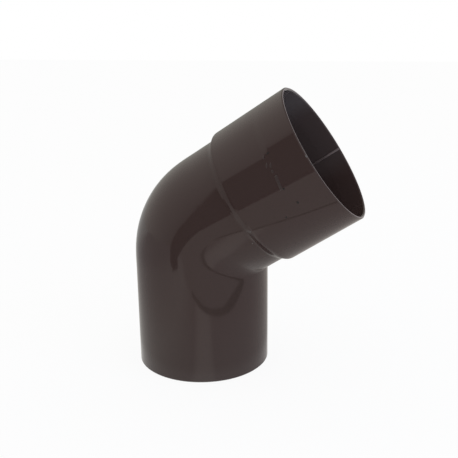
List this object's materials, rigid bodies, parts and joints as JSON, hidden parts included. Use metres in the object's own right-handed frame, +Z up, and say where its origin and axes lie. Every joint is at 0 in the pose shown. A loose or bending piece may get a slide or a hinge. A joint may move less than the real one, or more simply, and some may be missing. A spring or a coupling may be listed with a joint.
{
  "type": "downspout elbow",
  "caption": "Glossy brown plastic elbow for a round roof downspout, with a plain spigot below, a tight bend and a wider pipe socket at its upper end.",
  "frame": {"origin": "centre of the spigot's lower rim, on the lower leg's axis; the rim stands on z = 0", "axes": "+Z up along the lower leg's axis; +X the way the upper leg leans; the elbow is symmetrical about the XZ plane"},
  "size_m": [0.1371, 0.0852, 0.1668],
  "materials": {
    "elbow": "glossy dark brown PVC"
  },
  "bodies": {
    "root": {"elbow": "elbow"}
  },
  "joints": []
}
